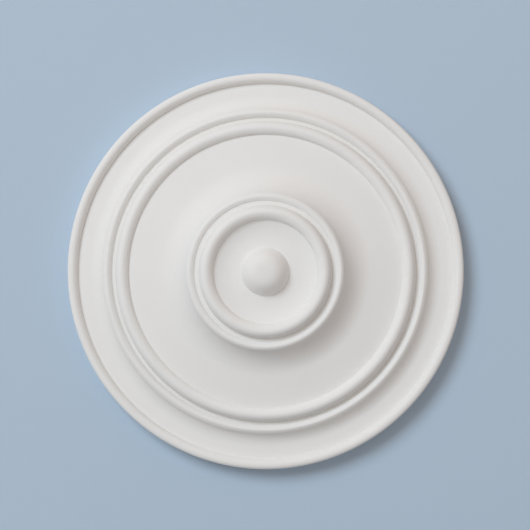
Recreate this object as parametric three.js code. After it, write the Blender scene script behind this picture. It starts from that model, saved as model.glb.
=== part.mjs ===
// Plain round ceiling rose, cast in one piece of plaster: rings of beads, coves and fields
// turned about one axis, round a domed button in a shallow dish, with a flat back.
// Millimetres, +Z up. The back lies in the plane y = 0 with the origin at its centre,
// and the face looks along -Y.
import * as THREE from 'three';

// Each size is a radius from the axis or a height above the flat back, from the rim inwards.
const roseRadius = 200;
const rim = { crest: 195.4, height: 24, innerFoot: 189.8, shoulderHeight: 19.5 };
const outerField = { innerEdge: 177.4, innerHeight: 17.1, outerHeight: 16.1 };
const outerStep = { outerFoot: 164.5, outerFootHeight: 25.1, crest: 159.8, height: 30.1 };
const outerGroove = { outerEdge: 154.8, innerEdge: 151.4, height: 25.4 };
const outerTorus = { crest: 144.3, height: 36.2, innerFoot: 137.8 };
const wideField = { innerEdge: 106, innerHeight: 34.2, outerHeight: 29.8 };
const innerStep = { outerFoot: 79, outerFootHeight: 55.6, crest: 75.3, height: 59.1 };
const innerGroove = { outerEdge: 70.9, innerEdge: 66.6, height: 56 };
const innerTorus = { crest: 59.3, height: 67, innerFoot: 51.8 };
const dish = { lowest: 33.5, lowestHeight: 54.9, rimHeight: 59 };
const button = { radius: 24, footHeight: 55.4, height: 72.8 };

// Fullness of a bead's two sides: 2 is a true quarter round, less is slacker.
const torusFullness = { inner: 1.7, outer: 2.05 };
const stepFullness = { inner: 1.5, outer: 1.5 };
const rimFullness = { inner: 1.85, outer: 2.4 };
// The button's top is flattened and its foot steep: powers of the radius and of the rise.
const buttonFlatness = 3.4;
const buttonSteepness = 0.88;

// Facets round the axis, and steps along each curved stretch of the profile.
const facetsRound = 64;
const stepsOnBead = 4;
const stepsOnCove = 5;
const stepsOnDish = 5;
const stepsOnButton = 6;

const at = (radius, height) => new THREE.Vector2(radius, height);

// Places from 0 to 1 along a stretch of the profile, both ends included.
function places(steps) {
  return Array.from({ length: steps + 1 }, (_, i) => i / steps);
}

// One side of a bead, from the level crest down to its foot.
function quarterRound(crest, foot, fullness) {
  return places(stepsOnBead).map((place) => {
    const angle = place * (Math.PI / 2);
    const outward = Math.sin(angle) ** (2 / fullness);
    const upward = Math.max(Math.cos(angle), 0) ** (2 / fullness);
    return at(crest.x + (foot.x - crest.x) * outward, foot.y + (crest.y - foot.y) * upward);
  });
}

// A bead from its inner foot over the crest to its outer foot.
function bead(innerFoot, crest, outerFoot, fullness) {
  const inner = quarterRound(crest, innerFoot, fullness.inner).reverse();
  const outer = quarterRound(crest, outerFoot, fullness.outer);
  return [...inner, ...outer.slice(1)];
}

// A hollow of round section, from a high inner edge down to a sloping field that it runs into.
function cove(top, bottom, fieldSlope) {
  const width = bottom.x - top.x;
  const rise = top.y - bottom.y - fieldSlope * width;
  const hollowRadius = (width ** 2 + rise ** 2) / (2 * rise);
  const steepest = Math.asin(width / hollowRadius);
  return places(stepsOnCove).map((place) => {
    const angle = steepest * (1 - place);
    const inward = hollowRadius * Math.sin(angle);
    const above = fieldSlope * inward + hollowRadius * (1 - Math.cos(angle));
    return at(bottom.x - inward, bottom.y + above);
  });
}

// The dish is lowest on a ring, and rises from it to the button's foot and to the inner bead.
function dishSection() {
  return places(stepsOnDish).map((place) => {
    const radius = button.radius + (innerTorus.innerFoot - button.radius) * place;
    const end = radius < dish.lowest ? button.radius : innerTorus.innerFoot;
    const endHeight = radius < dish.lowest ? button.footHeight : dish.rimHeight;
    const share = (radius - dish.lowest) / (end - dish.lowest);
    return at(radius, dish.lowestHeight + (endHeight - dish.lowestHeight) * share ** 2);
  });
}

// The button runs from its top on the axis to its foot in the dish.
function buttonSection() {
  return places(stepsOnButton).map((place) => {
    const share = Math.sin((place * Math.PI) / 2);
    const heightShare = Math.max(1 - share ** buttonFlatness, 0) ** buttonSteepness;
    const rise = (button.height - button.footHeight) * heightShare;
    return at(button.radius * share, button.footHeight + rise);
  });
}

// The inner boss: button, dish, bead, groove and step.
function bossProfile() {
  return [
    ...buttonSection(),
    ...dishSection().slice(1),
    ...bead(
      at(innerTorus.innerFoot, dish.rimHeight),
      at(innerTorus.crest, innerTorus.height),
      at(innerGroove.innerEdge, innerGroove.height),
      torusFullness,
    ).slice(1),
    ...bead(
      at(innerGroove.outerEdge, innerGroove.height),
      at(innerStep.crest, innerStep.height),
      at(innerStep.outerFoot, innerStep.outerFootHeight),
      stepFullness,
    ),
  ];
}

// The wide ring: cove, sloping field, bead, groove and step.
function wideRingProfile() {
  const fieldWidth = outerTorus.innerFoot - wideField.innerEdge;
  const fieldSlope = (wideField.innerHeight - wideField.outerHeight) / fieldWidth;
  return [
    ...cove(
      at(innerStep.outerFoot, innerStep.outerFootHeight),
      at(wideField.innerEdge, wideField.innerHeight),
      fieldSlope,
    ).slice(1),
    ...bead(
      at(outerTorus.innerFoot, wideField.outerHeight),
      at(outerTorus.crest, outerTorus.height),
      at(outerGroove.innerEdge, outerGroove.height),
      torusFullness,
    ),
    ...bead(
      at(outerGroove.outerEdge, outerGroove.height),
      at(outerStep.crest, outerStep.height),
      at(outerStep.outerFoot, outerStep.outerFootHeight),
      stepFullness,
    ),
  ];
}

// The outer ring: cove, narrow field, rim bead, upright edge and the flat back.
function outerRingProfile() {
  const fieldWidth = rim.innerFoot - outerField.innerEdge;
  const fieldSlope = (outerField.innerHeight - outerField.outerHeight) / fieldWidth;
  return [
    ...cove(
      at(outerStep.outerFoot, outerStep.outerFootHeight),
      at(outerField.innerEdge, outerField.innerHeight),
      fieldSlope,
    ).slice(1),
    ...bead(
      at(rim.innerFoot, outerField.outerHeight),
      at(rim.crest, rim.height),
      at(roseRadius, rim.shoulderHeight),
      rimFullness,
    ),
    at(roseRadius, 0),
    at(0, 0),
  ];
}

const plaster = new THREE.MeshStandardMaterial({ color: '#ecebe8', roughness: 0.85, metalness: 0 });

// The profile is listed from the button to the back and reversed, so that the faces point out.
// It is turned about the geometry's own Y axis, and half a turn about X points the face along -Y.
const profile = [...bossProfile(), ...wideRingProfile(), ...outerRingProfile()].reverse();
const rose = new THREE.Mesh(new THREE.LatheGeometry(profile, facetsRound), plaster);
rose.name = 'ceiling_rose';
rose.rotation.x = Math.PI;

const part = new THREE.Group();
part.add(rose);

export default part;
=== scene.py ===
# %% [markdown]
# # A plain plaster ceiling rose
#
# A ceiling rose is the round ornament on a ceiling above a pendant lamp. This one has no leaves or
# flowers: rings of beads, grooves and coves climb from the rim to a boss with a domed button in a
# shallow dish. It is one casting of plaster, so the lesson makes one piece, its finish, and a small
# studio to look at it in.
#
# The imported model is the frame. It says how large the rose is and where it hangs: the flat back lies
# in the plane y = 0, the origin is at the back's centre, and the face looks along -Y.

import math

import bpy
import numpy as np
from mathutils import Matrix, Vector, noise


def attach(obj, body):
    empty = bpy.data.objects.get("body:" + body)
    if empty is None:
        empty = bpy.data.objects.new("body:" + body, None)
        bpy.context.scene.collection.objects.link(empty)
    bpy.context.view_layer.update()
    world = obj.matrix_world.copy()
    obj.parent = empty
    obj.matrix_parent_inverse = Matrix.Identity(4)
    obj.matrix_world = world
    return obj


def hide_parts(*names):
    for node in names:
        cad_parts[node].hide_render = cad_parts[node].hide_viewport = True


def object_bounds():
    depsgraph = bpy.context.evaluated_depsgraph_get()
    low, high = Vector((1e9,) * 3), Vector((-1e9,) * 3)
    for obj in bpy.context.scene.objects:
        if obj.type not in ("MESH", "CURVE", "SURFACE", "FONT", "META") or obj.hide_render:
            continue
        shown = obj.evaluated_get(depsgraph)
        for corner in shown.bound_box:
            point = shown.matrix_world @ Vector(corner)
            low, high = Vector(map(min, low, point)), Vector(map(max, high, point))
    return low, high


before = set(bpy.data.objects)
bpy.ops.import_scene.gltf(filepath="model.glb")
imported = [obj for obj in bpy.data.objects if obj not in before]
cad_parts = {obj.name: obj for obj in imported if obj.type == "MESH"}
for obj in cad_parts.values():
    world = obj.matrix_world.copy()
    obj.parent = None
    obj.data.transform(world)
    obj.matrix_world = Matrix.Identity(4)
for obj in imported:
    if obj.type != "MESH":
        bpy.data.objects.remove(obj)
cad_low, cad_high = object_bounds()
rose_radius = (cad_high.x - cad_low.x) / 2
rose_depth = cad_high.y - cad_low.y
print(f"the frame is {2000 * rose_radius:.0f} mm across and {1000 * rose_depth:.1f} mm deep")

# %% [markdown]
# ## The section
#
# A plasterer shapes a rose like this with a metal template that swings round a pin, so one section,
# turned about the axis, is the whole form. It is listed from the rim inwards. Every size is a radius
# or a height above the back in drawn millimetres, and one factor fits the drawing to the frame.

# %% Sizes of the section
DRAWN_RADIUS = 200.0
drawn_mm = rose_radius / DRAWN_RADIUS

rim = dict(crest=195.4, height=24.0, inner_foot=189.8, shoulder_height=19.5)
outer_field = dict(inner_edge=177.4, inner_height=17.1, outer_height=16.1)
outer_step = dict(outer_foot=164.5, outer_foot_height=25.1, crest=159.8, height=30.1)
outer_groove = dict(outer_edge=154.8, inner_edge=151.4, height=25.4)
outer_torus = dict(crest=144.3, height=36.2, inner_foot=137.8)
wide_field = dict(inner_edge=106.0, inner_height=34.2, outer_height=29.8)
inner_step = dict(outer_foot=79.0, outer_foot_height=55.6, crest=75.3, height=59.1)
inner_groove = dict(outer_edge=70.9, inner_edge=66.6, height=56.0)
inner_torus = dict(crest=59.3, height=67.0, inner_foot=51.8)
dish = dict(lowest=33.5, lowest_height=54.9, rim_height=59.0)
button = dict(radius=24.0, foot_height=55.4, height=72.8)

TORUS_FULLNESS = (1.7, 2.05)  # inner and outer side; 2 is a true quarter round, less is slacker
STEP_FULLNESS = (1.5, 1.5)
RIM_FULLNESS = (1.85, 2.4)
BUTTON_FLATNESS = 3.4  # the power of the radius that the button's top falls by
BUTTON_STEEPNESS = 0.88  # the power that steepens its foot
print(f"a drawn millimetre is {1000 * drawn_mm:.4f} mm in the frame")

# %% [markdown]
# ## Beads, coves, dish and button
#
# Each stretch of the section is a curve with a name and a formula. A bead is two quarter rounds that
# meet at its crest. A cove is an arc that runs out level with the field below it. The dish is lowest
# on a ring, and the button is a dome with a flattened top. Curves from formulas stay smooth at any
# fineness, which a list of traced points would not.

# %% The curves
CURVE_POINTS = 60


def bead(inner_foot, crest, outer_foot, fullness):
    """A bead from its inner foot over the crest to its outer foot."""
    turn = np.linspace(0, math.pi / 2, CURVE_POINTS)
    sides = []
    for foot, full in zip((inner_foot, outer_foot), fullness):
        outward = np.sin(turn) ** (2 / full)
        upward = np.maximum(np.cos(turn), 0) ** (2 / full)
        radius = crest[0] + (foot[0] - crest[0]) * outward
        height = foot[1] + (crest[1] - foot[1]) * upward
        sides.append(np.column_stack([radius, height]))
    return np.vstack([sides[0][::-1], sides[1][1:]])


def cove(top, bottom, field_slope):
    """A hollow of round section from a high inner edge down to a sloping field."""
    width = bottom[0] - top[0]
    rise = top[1] - bottom[1] - field_slope * width
    hollow_radius = (width**2 + rise**2) / (2 * rise)
    turn = np.linspace(math.asin(width / hollow_radius), 0, CURVE_POINTS)
    inward = hollow_radius * np.sin(turn)
    above = field_slope * inward + hollow_radius * (1 - np.cos(turn))
    return np.column_stack([bottom[0] - inward, bottom[1] + above])


def button_and_dish():
    """From the button's top on the axis, down to its foot and across the dish."""
    share = np.sin(np.linspace(0, math.pi / 2, CURVE_POINTS))
    height_share = np.maximum(1 - share**BUTTON_FLATNESS, 0) ** BUTTON_STEEPNESS
    rise = (button["height"] - button["foot_height"]) * height_share
    dome = np.column_stack([button["radius"] * share, button["foot_height"] + rise])
    halves = []
    for end, end_height in (
        (button["radius"], button["foot_height"]),
        (inner_torus["inner_foot"], dish["rim_height"]),
    ):
        place = np.linspace(0, 1, CURVE_POINTS)
        radius = dish["lowest"] + (end - dish["lowest"]) * place
        height = dish["lowest_height"] + (end_height - dish["lowest_height"]) * place**2
        halves.append(np.column_stack([radius, height]))
    return np.vstack([dome, halves[0][::-1][1:], halves[1][1:]])


dome_and_dish = button_and_dish()
print(f"button and dish: {len(dome_and_dish)} points, {dome_and_dish[:, 1].max():.1f} mm high")

# %% Join the curves into one section
wide_slope = (wide_field["inner_height"] - wide_field["outer_height"]) / (
    outer_torus["inner_foot"] - wide_field["inner_edge"]
)
outer_slope = (outer_field["inner_height"] - outer_field["outer_height"]) / (
    rim["inner_foot"] - outer_field["inner_edge"]
)
face_section = np.vstack([
    dome_and_dish,
    bead(
        (inner_torus["inner_foot"], dish["rim_height"]),
        (inner_torus["crest"], inner_torus["height"]),
        (inner_groove["inner_edge"], inner_groove["height"]),
        TORUS_FULLNESS,
    )[1:],
    bead(
        (inner_groove["outer_edge"], inner_groove["height"]),
        (inner_step["crest"], inner_step["height"]),
        (inner_step["outer_foot"], inner_step["outer_foot_height"]),
        STEP_FULLNESS,
    ),
    cove(
        (inner_step["outer_foot"], inner_step["outer_foot_height"]),
        (wide_field["inner_edge"], wide_field["inner_height"]),
        wide_slope,
    )[1:],
    bead(
        (outer_torus["inner_foot"], wide_field["outer_height"]),
        (outer_torus["crest"], outer_torus["height"]),
        (outer_groove["inner_edge"], outer_groove["height"]),
        TORUS_FULLNESS,
    ),
    bead(
        (outer_groove["outer_edge"], outer_groove["height"]),
        (outer_step["crest"], outer_step["height"]),
        (outer_step["outer_foot"], outer_step["outer_foot_height"]),
        STEP_FULLNESS,
    ),
    cove(
        (outer_step["outer_foot"], outer_step["outer_foot_height"]),
        (outer_field["inner_edge"], outer_field["inner_height"]),
        outer_slope,
    )[1:],
    bead(
        (rim["inner_foot"], outer_field["outer_height"]),
        (rim["crest"], rim["height"]),
        (DRAWN_RADIUS, rim["shoulder_height"]),
        RIM_FULLNESS,
    ),
    [(DRAWN_RADIUS, 0.0)],
])
print(f"section of the face and edge: {len(face_section)} points")

# %% [markdown]
# ## Soft arrises
#
# A fresh cast has crisp corners, but the sealer and paint brushed over it fill each crease and round
# each arris by about a quarter of a millimetre. Averaging the section along its own length does the
# same. It is walked in small equal steps first, so that the reach of the averaging is a real size.

# %% Soften the section
WALK_STEP = 0.1  # mm
PAINT_REACH = 0.22  # mm, how far the paint rounds a corner
BELL_SPAN = 4  # reaches on each side that the averaging takes in


def walked(line, step):
    """The line as points at equal steps along it."""
    gaps = np.hypot(*np.diff(line, axis=0).T)
    along = np.concatenate([[0], np.cumsum(gaps)])
    places = np.linspace(0, along[-1], int(along[-1] / step) + 1)
    return np.column_stack([np.interp(places, along, line[:, i]) for i in (0, 1)])


def softened(line, reach):
    """The walked line averaged over a bell curve; it carries on past the axis as its mirror image."""
    half = int(BELL_SPAN * reach / WALK_STEP)
    bell = np.exp(-0.5 * (np.arange(-half, half + 1) * WALK_STEP / reach) ** 2)
    bell /= bell.sum()
    before = line[half:0:-1] * (-1, 1)
    after = 2 * line[-1] - line[-2 : -half - 2 : -1]
    longer = np.vstack([before, line, after])
    return np.column_stack([np.convolve(longer[:, i], bell, "valid") for i in (0, 1)])


soft_section = softened(walked(face_section, WALK_STEP), PAINT_REACH)
print(f"softened section: {len(soft_section)} steps of {WALK_STEP} mm")

# %% [markdown]
# ## Rings where the section bends
#
# The mesh needs many rings round a bead and few across a field. Each step along the section costs an
# effort, partly for its length and partly for how far it turns, and the rings are set at equal shares
# of the total effort.

# %% Choose the rings
FACE_RINGS = 270
FIELD_GAP = 2.6  # mm of straight section that cost as much as one turn
TURN_SHARE = math.radians(9)


def rings_by_effort(line, count):
    steps = np.diff(line, axis=0)
    length = np.hypot(*steps.T)
    heading = np.unwrap(np.arctan2(steps[:, 1], steps[:, 0]))
    turning = np.abs(np.gradient(heading))
    effort = np.concatenate([[0], np.cumsum(length / FIELD_GAP + turning / TURN_SHARE)])
    places = np.linspace(0, effort[-1], count)
    return np.column_stack([np.interp(places, effort, line[:, i]) for i in (0, 1)])


face_rings = rings_by_effort(soft_section, FACE_RINGS)
face_rings[0, 0] = 0.0
gaps = np.hypot(*np.diff(face_rings, axis=0).T)
print(f"{FACE_RINGS} rings, {gaps.min():.2f} to {gaps.max():.2f} mm apart")

# %% [markdown]
# ## Turn the section into a mesh
#
# Spinning a curve with a modifier would do, but turning the rings in code keeps the order of the
# points known, which the surface relief below needs. The first and last points lie on the axis and
# become single points, with a fan of triangles round each.

# %% Turn it
SEGMENTS = 300
BACK_RINGS = 24

back_radii = np.linspace(DRAWN_RADIUS, 0, BACK_RINGS + 1)[1:]
back_rings = np.column_stack([back_radii, np.zeros(BACK_RINGS)])
rings = np.vstack([face_rings, back_rings])


def turned(rings):
    """Points and faces of a closed body turned about Y, face towards -Y, in metres."""
    turn = np.linspace(0, 2 * math.pi, SEGMENTS, endpoint=False)
    middle = rings[1:-1]
    points = np.empty((len(middle), SEGMENTS, 3))
    points[..., 0] = middle[:, :1] * np.cos(turn)
    points[..., 1] = -middle[:, 1:]
    points[..., 2] = middle[:, :1] * np.sin(turn)
    ends = [(0, -rings[0, 1], 0), (0, -rings[-1, 1], 0)]
    points = np.vstack([points.reshape(-1, 3), ends]) * drawn_mm
    here = np.arange(SEGMENTS)
    after = np.roll(here, -1)
    faces = []
    for i in range(len(middle) - 1):
        row, below = i * SEGMENTS, (i + 1) * SEGMENTS
        faces += np.column_stack([row + here, below + here, below + after, row + after]).tolist()
    first, last = len(points) - 2, len(points) - 1
    bottom = (len(middle) - 1) * SEGMENTS
    faces += np.column_stack([np.full(SEGMENTS, first), here, after]).tolist()
    faces += np.column_stack([np.full(SEGMENTS, last), bottom + after, bottom + here]).tolist()
    return points, faces


rose_points, rose_faces = turned(rings)
print(f"{len(rose_points)} points and {len(rose_faces)} faces")

# %% [markdown]
# ## Casting waves and a screeded back
#
# A hand-run master and a flexible mould leave the face very slightly wavy, about a tenth of a
# millimetre over a hand's breadth. It can't be seen as a shape, but it keeps long highlights from
# looking machined. The back is struck off flat with a straight board while the plaster sets, which
# drags shallow streaks across it. They are cut into the back, so it still beds on its highest part.

# %% Add the relief
WAVE_LENGTH = 70.0  # mm
WAVE_DEPTH = 0.11  # mm
STREAK_SPACING = 16.0  # mm across the streaks
STREAK_STRETCH = 14.0  # times longer than wide
STREAK_DEPTH = 0.5  # mm
STREAK_SLICE = 0.5  # where the noise is cut to give the streaks
EDGE_MARGIN = 0.985  # share of the radius inside which the back is streaked
LEVEL = 1e-9  # m, points nearer than this to the plane of the back are on it


def wave(point):
    return WAVE_DEPTH * noise.noise(Vector(point) / (WAVE_LENGTH * drawn_mm))


def streak(point):
    across = point[2] / (STREAK_SPACING * drawn_mm)
    along = point[0] / (STREAK_SPACING * STREAK_STRETCH * drawn_mm)
    return STREAK_DEPTH * max(0.0, noise.noise(Vector((along, across, STREAK_SLICE))))


radial = np.hypot(rose_points[:, 0], rose_points[:, 2])
on_back = rose_points[:, 1] > -LEVEL
streaked = on_back & (radial < EDGE_MARGIN * rose_radius)
towards_face = np.array([-wave(p) if not b else 0.0 for p, b in zip(rose_points, on_back)])
towards_face[streaked] = [streak(p) for p in rose_points[streaked]]
inside_box = np.minimum(towards_face * drawn_mm, rose_points[:, 1] - cad_low.y)
rose_points[:, 1] -= inside_box
print(f"relief from {towards_face.min():.2f} to {towards_face.max():.2f} mm")

# %% Make the piece
rose_mesh = bpy.data.meshes.new("plaster_rose")
rose_mesh.from_pydata(rose_points.tolist(), [], rose_faces)
rose_mesh.polygons.foreach_set("use_smooth", [True] * len(rose_mesh.polygons))
rose = bpy.data.objects.new("plaster_rose", rose_mesh)
bpy.context.scene.collection.objects.link(rose)
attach(rose, "root")
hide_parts("ceiling_rose")
triangles = sum(len(p.vertices) - 2 for p in rose_mesh.polygons)
print(f"plaster_rose: {triangles} triangles, valid {not rose_mesh.validate()}")

# %% [markdown]
# ## Painted shade in the hollows
#
# The grooves are painted a darker, warmer tone than the crests, as painted shade in the creases. The
# mesh carries how deep they lie as one number a point: how far the section lies below its own
# average over a few millimetres.

# %% Mark the hollows
HOLLOW_REACH = 4.0  # mm
section_average = softened(walked(face_section, WALK_STEP), HOLLOW_REACH)
below = section_average[:, 1] - soft_section[:, 1]
ring_radius = rings[1:-1, 0]
section_order = np.argsort(soft_section[:, 0], kind="stable")
ring_hollow = np.interp(ring_radius, soft_section[section_order, 0], below[section_order])
ring_hollow[FACE_RINGS - 1 :] = 0.0
hollow_depth = np.concatenate([np.repeat(ring_hollow, SEGMENTS), [0.0, 0.0]])
hollow = rose_mesh.attributes.new("hollow_mm", "FLOAT", "POINT")
hollow.data.foreach_set("value", np.maximum(hollow_depth, 0).astype(np.float32))
print(f"deepest hollow {ring_hollow.max():.2f} mm below its surroundings")

# %% [markdown]
# ## Colours and nodes
#
# Colours are written as they look on a screen and turned to linear light once, here. Materials are
# small graphs of nodes, and one helper adds a node with its settings and its links.


# %% Two helpers
def linear(hex_colour):
    """An sRGB hex colour as linear RGBA."""
    channels = [int(hex_colour[i : i + 2], 16) / 255 for i in (1, 3, 5)]
    return [c / 12.92 if c <= 0.04045 else ((c + 0.055) / 1.055) ** 2.4 for c in channels] + [1.0]


def add_node(material, kind, settings=None, values=None, links=None):
    """A node with its settings, its sockets' values, and links to its sockets from others' outputs."""
    tree = material.node_tree
    node = tree.nodes.new(kind)
    for name, setting in (settings or {}).items():
        setattr(node, name, setting)
    for socket, value in (values or {}).items():
        node.inputs[socket].default_value = value
    for socket, output in (links or {}).items():
        tree.links.new(output, node.inputs[socket])
    return node


def new_material(name):
    """An empty material with its surface node, ready for links."""
    material = bpy.data.materials.new(name)
    material.use_nodes = True
    return material, material.node_tree.nodes["Principled BSDF"]


print("mid grey in linear light:", [round(c, 3) for c in linear("#808080")[:3]])

# %% [markdown]
# ## Cast gypsum plaster, sealed and painted matt
#
# Gypsum plaster is nearly white and scatters light so well that shaded grooves glow with light from
# their neighbours. A coat of matt emulsion leaves no gloss, only a soft sheen at grazing angles. Up
# close it has a fine grain from the brush and the plaster's grit, a few pinholes where air bubbles
# met the mould, and tones that drift by a per cent or two.

# %% Plaster material
GRAIN = 0.9  # mm, drawn a little coarser than the real grit so that it shows
DRIFT = 55.0  # mm
PINHOLE_SPACING = 13.0  # mm
PINHOLE_SIZE = 0.55  # mm
METRE = 1000.0  # mm, noise textures count their waves over one metre
PAINT_TONES = ("#efefee", "#f2f2f1")
# The hollows are painted towards this darker, warmer tone: painted shade in the creases.
PAINTED_SHADE_TONE = "#e3e0d9"
PAINTED_SHADE_FROM = 0.9  # mm of hollow
PAINTED_SHADE_FULL_FROM = 2.4  # mm of hollow
MOST_PAINTED_SHADE = 0.6  # share of the painted shade's tone in the deepest hollows
GYPSUM_IOR = 1.52

plaster, plaster_surface = new_material("cast_gypsum_plaster_matt")
place = add_node(plaster, "ShaderNodeTexCoord").outputs["Object"]
drift = add_node(
    plaster, "ShaderNodeTexNoise", values={"Scale": METRE / DRIFT, "Detail": 3.0}, links={"Vector": place}
)
paint = add_node(
    plaster,
    "ShaderNodeMix",
    {"data_type": "RGBA"},
    {6: linear(PAINT_TONES[0]), 7: linear(PAINT_TONES[1])},
    {0: drift.outputs["Fac"]},
)
hollow_amount = add_node(plaster, "ShaderNodeAttribute", {"attribute_name": "hollow_mm"})
# Painted shade: the deeper a point's hollow, the more its paint is mixed towards the darker, warmer tone.
painted_shade = add_node(
    plaster,
    "ShaderNodeMapRange",
    values={"From Min": PAINTED_SHADE_FROM, "From Max": PAINTED_SHADE_FULL_FROM, "To Min": 0.0, "To Max": MOST_PAINTED_SHADE},
    links={"Value": hollow_amount.outputs["Fac"]},
)
paint_with_painted_shade = add_node(
    plaster,
    "ShaderNodeMix",
    {"data_type": "RGBA"},
    {7: linear(PAINTED_SHADE_TONE)},
    {0: painted_shade.outputs["Result"], 6: paint.outputs[2]},
)
# The paint with painted shade in the hollows becomes the base colour.
plaster.node_tree.links.new(paint_with_painted_shade.outputs[2], plaster_surface.inputs["Base Color"])
print("plaster: colour drift and painted shade in the hollows")

# %% Plaster grain and pinholes
GRAIN_DEPTH = 0.3  # mm
PINHOLE_DEPTH = 0.4  # mm
PAINT_ROUGHNESS = (0.78, 0.9)  # drifts with the tone
PAINT_SHEEN = 0.3  # specular level, below a bare surface's because the paint is matt

grain = add_node(
    plaster,
    "ShaderNodeTexNoise",
    values={"Scale": METRE / GRAIN, "Detail": 4.0, "Roughness": 0.6},
    links={"Vector": place},
)
bubbles = add_node(
    plaster, "ShaderNodeTexVoronoi", values={"Scale": METRE / PINHOLE_SPACING}, links={"Vector": place}
)
pinhole = add_node(
    plaster,
    "ShaderNodeMapRange",
    values={"From Min": 0.0, "From Max": PINHOLE_SIZE / PINHOLE_SPACING, "To Min": 0.0, "To Max": 1.0},
    links={"Value": bubbles.outputs["Distance"]},
)
grain_bump = add_node(
    plaster,
    "ShaderNodeBump",
    values={"Strength": 0.12, "Distance": GRAIN_DEPTH / METRE},
    links={"Height": grain.outputs["Fac"]},
)
pinhole_bump = add_node(
    plaster,
    "ShaderNodeBump",
    values={"Strength": 0.35, "Distance": PINHOLE_DEPTH / METRE},
    links={"Height": pinhole.outputs["Result"], "Normal": grain_bump.outputs["Normal"]},
)
plaster.node_tree.links.new(pinhole_bump.outputs["Normal"], plaster_surface.inputs["Normal"])
roughness = add_node(
    plaster,
    "ShaderNodeMapRange",
    values={"To Min": PAINT_ROUGHNESS[0], "To Max": PAINT_ROUGHNESS[1]},
    links={"Value": drift.outputs["Fac"]},
)
plaster.node_tree.links.new(roughness.outputs["Result"], plaster_surface.inputs["Roughness"])
plaster_surface.inputs["IOR"].default_value = GYPSUM_IOR
plaster_surface.inputs["Specular IOR Level"].default_value = PAINT_SHEEN
rose_mesh.materials.append(plaster)
print("plaster: grain, pinholes and roughness")

# %% [markdown]
# ## The bare back
#
# Nobody sees the back once the rose is up, so it stays as the board left it: unpainted plaster, a
# little greyer and rougher than the face, with fine drag lines along the streaks.

# %% Back material
DRAG_LINE = 1.6  # mm
DRAG_STRETCH = 40  # times longer than wide
DRAG_DEPTH = 0.6  # mm
BARE_TONES = ("#dddad4", "#ebe9e4")
BARE_ROUGHNESS = 0.93
BARE_SHEEN = 0.2  # specular level

bare, bare_surface = new_material("screeded_gypsum_plaster_bare")
bare_place = add_node(bare, "ShaderNodeTexCoord").outputs["Object"]
drag_map = add_node(
    bare,
    "ShaderNodeMapping",
    values={"Scale": (METRE / (DRAG_LINE * DRAG_STRETCH), 1.0, METRE / DRAG_LINE)},
    links={"Vector": bare_place},
)
drag = add_node(
    bare, "ShaderNodeTexNoise", values={"Scale": 1.0, "Detail": 4.0}, links={"Vector": drag_map.outputs[0]}
)
blotch = add_node(
    bare, "ShaderNodeTexNoise", values={"Scale": METRE / DRIFT, "Detail": 5.0}, links={"Vector": bare_place}
)
bare_tone = add_node(
    bare,
    "ShaderNodeMix",
    {"data_type": "RGBA"},
    {6: linear(BARE_TONES[0]), 7: linear(BARE_TONES[1])},
    {0: blotch.outputs["Fac"]},
)
bare.node_tree.links.new(bare_tone.outputs[2], bare_surface.inputs["Base Color"])
drag_bump = add_node(
    bare,
    "ShaderNodeBump",
    values={"Strength": 0.4, "Distance": DRAG_DEPTH / METRE},
    links={"Height": drag.outputs["Fac"]},
)
bare.node_tree.links.new(drag_bump.outputs["Normal"], bare_surface.inputs["Normal"])
bare_surface.inputs["Roughness"].default_value = BARE_ROUGHNESS
bare_surface.inputs["IOR"].default_value = GYPSUM_IOR
bare_surface.inputs["Specular IOR Level"].default_value = BARE_SHEEN
rose_mesh.materials.append(bare)

back_start = (FACE_RINGS - 2) * SEGMENTS
face_count = len(rose_mesh.polygons)
slots = np.zeros(face_count, dtype=np.int32)
slots[back_start : face_count - 2 * SEGMENTS] = 1
slots[face_count - SEGMENTS :] = 1
rose_mesh.polygons.foreach_set("material_index", slots)
print(f"back: {int(slots.sum())} faces of bare plaster")

# %% [markdown]
# ## A small studio
#
# The rose is shown as it is photographed: square-on, against a plain pale backdrop that takes its
# shadow. The backdrop stands in the plane of the back and has a round window a little smaller than
# the rose, so that the back can be looked at from behind. A plain pale floor lies below.

# %% Backdrop and floor
BACKDROP_HALF = 1.1  # m
BACKDROP_THICKNESS = 0.004  # m
WINDOW_SHARE = 0.96  # of the rose's radius
WINDOW_SIDES = 128
FLOOR_HALF = 6.0  # m
FLOOR_DROP = 1.5 * rose_radius
BACKDROP_TONE = "#bccfe1"
FLOOR_TONE = "#c6c4c1"


def backdrop_mesh():
    """A square board in the plane of the back, with a round window."""
    turn = np.linspace(0, 2 * math.pi, WINDOW_SIDES, endpoint=False)
    way = np.column_stack([np.cos(turn), np.sin(turn)])
    window = way * rose_radius * WINDOW_SHARE
    outline = way / np.abs(way).max(axis=1, keepdims=True) * BACKDROP_HALF
    loops = [(window, 0), (outline, 0), (outline, 1), (window, 1)]
    points = [(x, y * BACKDROP_THICKNESS, z) for loop, y in loops for x, z in loop]
    faces = []
    for i in range(4):
        for j in range(WINDOW_SIDES):
            k = (j + 1) % WINDOW_SIDES
            here, there = i * WINDOW_SIDES, (i + 1) % 4 * WINDOW_SIDES
            faces.append((here + j, here + k, there + k, there + j))
    mesh = bpy.data.meshes.new("studio_backdrop")
    mesh.from_pydata(points, [], faces)
    return mesh


def floor_mesh():
    corners = [(-1, -1), (1, -1), (1, 1), (-1, 1)]
    mesh = bpy.data.meshes.new("studio_floor")
    mesh.from_pydata([(FLOOR_HALF * x, FLOOR_HALF * y, -FLOOR_DROP) for x, y in corners], [], [(0, 1, 2, 3)])
    return mesh


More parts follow.
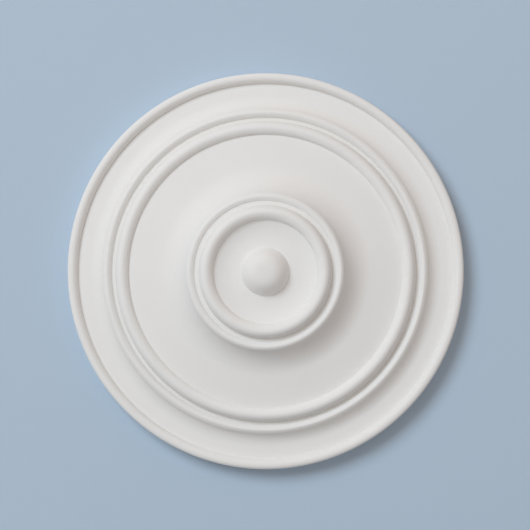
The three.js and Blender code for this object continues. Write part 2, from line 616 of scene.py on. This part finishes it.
for mesh, hex_colour in ((backdrop_mesh(), BACKDROP_TONE), (floor_mesh(), FLOOR_TONE)):
    paper, paper_surface = new_material(mesh.name + "_paper")
    paper_surface.inputs["Base Color"].default_value = linear(hex_colour)
    paper_surface.inputs["Roughness"].default_value = 1.0
    paper_surface.inputs["Specular IOR Level"].default_value = 0.0
    mesh.materials.append(paper)
    stand = bpy.data.objects.new(mesh.name, mesh)
    bpy.context.scene.collection.objects.link(stand)
    print(f"{mesh.name}: {len(mesh.polygons)} faces")

# %% [markdown]
# ## Light
#
# One large soft lamp stands up and to the left in front of the face. It is what models the beads: the
# sides that look at it are bright and the far sides fall into shade. The room gives the rest as even
# fill, a little warmer than the lamp, which keeps the shade open. A second lamp stands behind the
# backdrop and lights the back, for views from there.

# %% Lamp and room
LAMP_BEARING = math.radians(135)  # round the face, from the right towards the top
LAMP_HEIGHT = math.radians(53)  # above the plane of the face
LAMP_DISTANCE = 8.0  # m
LAMP_WIDTH = 4.0  # m
LAMP_POWER = 352.0  # W
BACK_LAMP_POWER = 300.0  # W
ROOM_LIGHT = 0.452  # strength of the even fill
LAMP_TONE = "#e9f5fd"
ROOM_TONE = "#ffe8d8"

lamp_way = Vector((
    math.cos(LAMP_HEIGHT) * math.cos(LAMP_BEARING),
    -math.sin(LAMP_HEIGHT),
    math.cos(LAMP_HEIGHT) * math.sin(LAMP_BEARING),
))


def soft_lamp(name, way, power):
    lamp = bpy.data.lights.new(name, "AREA")
    lamp.shape = "DISK"
    lamp.size = LAMP_WIDTH
    lamp.energy = power
    lamp.color = linear(LAMP_TONE)[:3]
    stand = bpy.data.objects.new(name, lamp)
    stand.location = way * LAMP_DISTANCE
    stand.rotation_mode = "QUATERNION"
    stand.rotation_quaternion = (-way).to_track_quat("-Z", "Y")
    bpy.context.scene.collection.objects.link(stand)
    return stand


soft_lamp("key_lamp", lamp_way, LAMP_POWER)
soft_lamp("back_lamp", lamp_way * Vector((-1, -1, 1)), BACK_LAMP_POWER)

room = bpy.data.worlds.new("studio_room")
room.use_nodes = True
room.node_tree.nodes["Background"].inputs["Color"].default_value = linear(ROOM_TONE)
room.node_tree.nodes["Background"].inputs["Strength"].default_value = ROOM_LIGHT
bpy.context.scene.world = room
bpy.context.scene.view_settings.view_transform = "Standard"
print(f"key lamp {math.degrees(2 * math.atan(LAMP_WIDTH / 2 / LAMP_DISTANCE)):.0f} degrees wide")

# %% [markdown]
# ## Camera
#
# The photograph looks at the face with a long lens from a few steps away, within half a degree or so
# of the axis, and the rose's centre sits a little below the middle of the frame. The lens is worked
# out so that the rim spans the same number of pixels.

# %% Camera
FRAME_PIXELS = 530
RIM_PIXELS = 198.4  # the rim's radius in the photograph's frame
CENTRE_PIXEL = (265.55, 271.35)  # the rose's centre, from the frame's top left corner
CAMERA_DISTANCE = 3.0  # m from the back
OFF_AXIS = math.radians(0.5)  # the camera stands this far right of the axis, and as far above it

camera_data = bpy.data.cameras.new("front_camera")
camera = bpy.data.objects.new("front_camera", camera_data)
to_rim = CAMERA_DISTANCE - rim["height"] * drawn_mm
pixel = rose_radius / RIM_PIXELS
camera_data.lens = camera_data.sensor_width * to_rim / (FRAME_PIXELS * pixel)
aim = Vector((
    (FRAME_PIXELS / 2 - CENTRE_PIXEL[0]) * pixel,
    -rim["height"] * drawn_mm,
    (CENTRE_PIXEL[1] - FRAME_PIXELS / 2) * pixel,
))
camera.location = aim + to_rim * Vector((math.tan(OFF_AXIS), -1, math.tan(OFF_AXIS)))
camera.rotation_mode = "QUATERNION"
camera.rotation_quaternion = (aim - camera.location).to_track_quat("-Z", "Y")
bpy.context.scene.collection.objects.link(camera)
bpy.context.scene.camera = camera
print(f"lens {camera_data.lens:.0f} mm at {CAMERA_DISTANCE} m")
